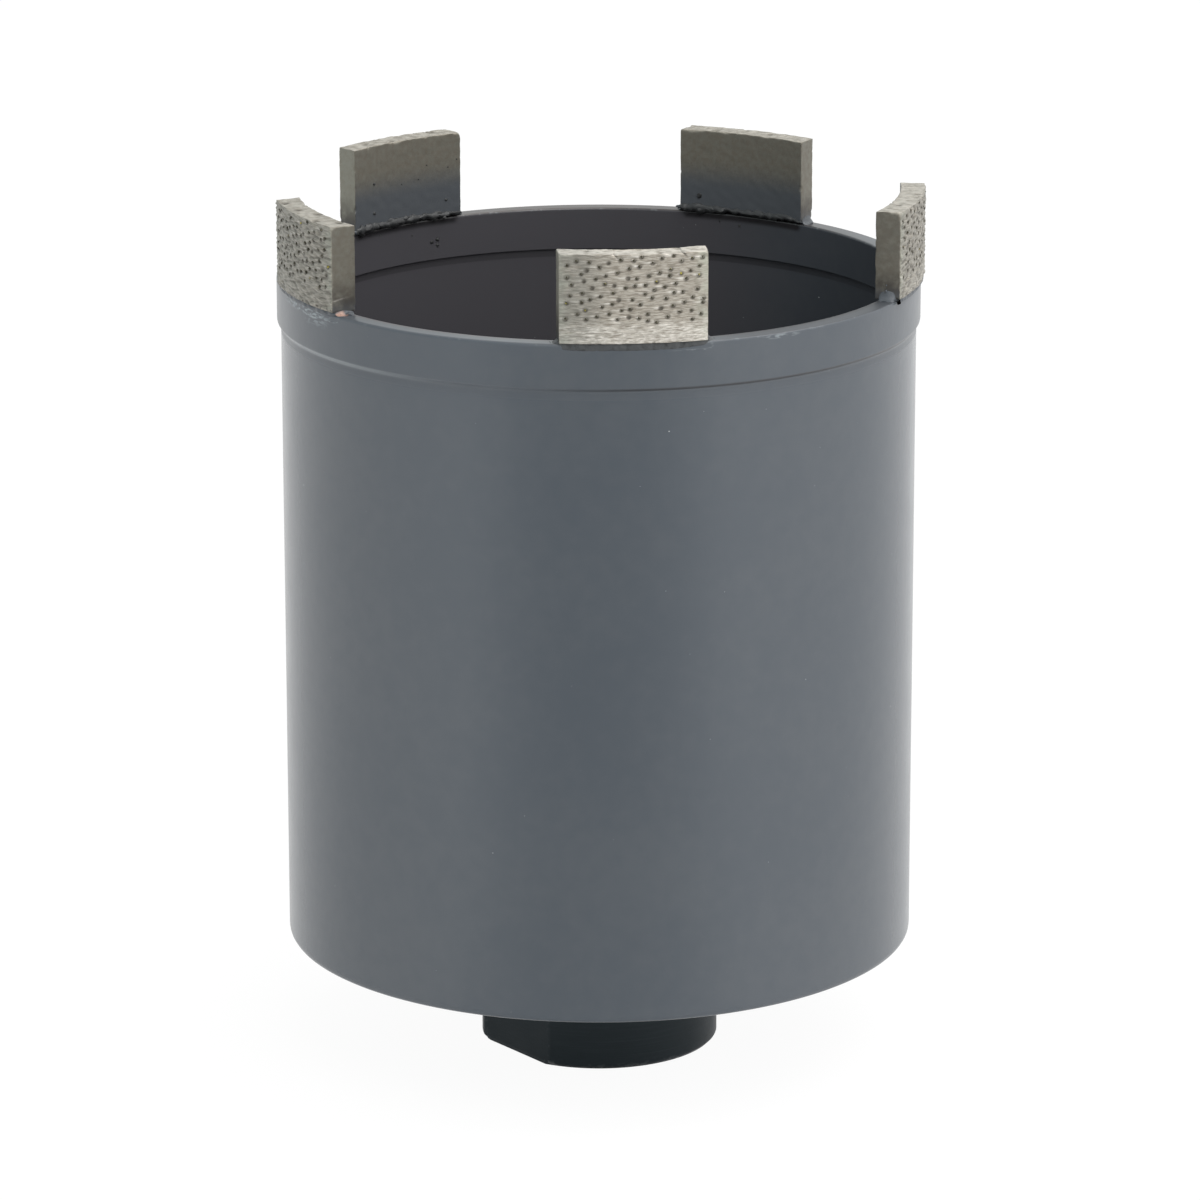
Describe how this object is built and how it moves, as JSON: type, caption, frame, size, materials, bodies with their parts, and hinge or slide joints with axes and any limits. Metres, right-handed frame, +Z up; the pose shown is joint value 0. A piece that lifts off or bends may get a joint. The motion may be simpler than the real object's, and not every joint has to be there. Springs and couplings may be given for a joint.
{
  "type": "diamond core bit",
  "caption": "Thin steel core barrel with a threaded hub at its closed end and spaced diamond segments welded round its open rim, for drilling round holes in masonry",
  "frame": {"origin": "the centre of the hub's end face, on the axis of turning", "axes": "+Z runs up the axis of turning, from the hub to the segments. -Y is the front, near which the first segment stands"},
  "size_m": [0.0815, 0.0815, 0.1122],
  "materials": {
    "barrel_paint": "satin",
    "hub_steel": "satin",
    "sintered_metal": "matte",
    "painted_weld": "satin"
  },
  "bodies": {
    "root": {"barrel_tube": "barrel_paint", "collar_ring": "barrel_paint", "base_plate": "barrel_paint", "threaded_hub": "hub_steel", "plate_weld": "painted_weld", "hub_weld": "painted_weld", "segment_1": "sintered_metal", "segment_2": "sintered_metal", "segment_3": "sintered_metal", "segment_4": "sintered_metal", "segment_5": "sintered_metal", "segment_weld_1": "painted_weld", "segment_weld_2": "painted_weld", "segment_weld_3": "painted_weld", "segment_weld_4": "painted_weld", "segment_weld_5": "painted_weld"}
  },
  "joints": []
}
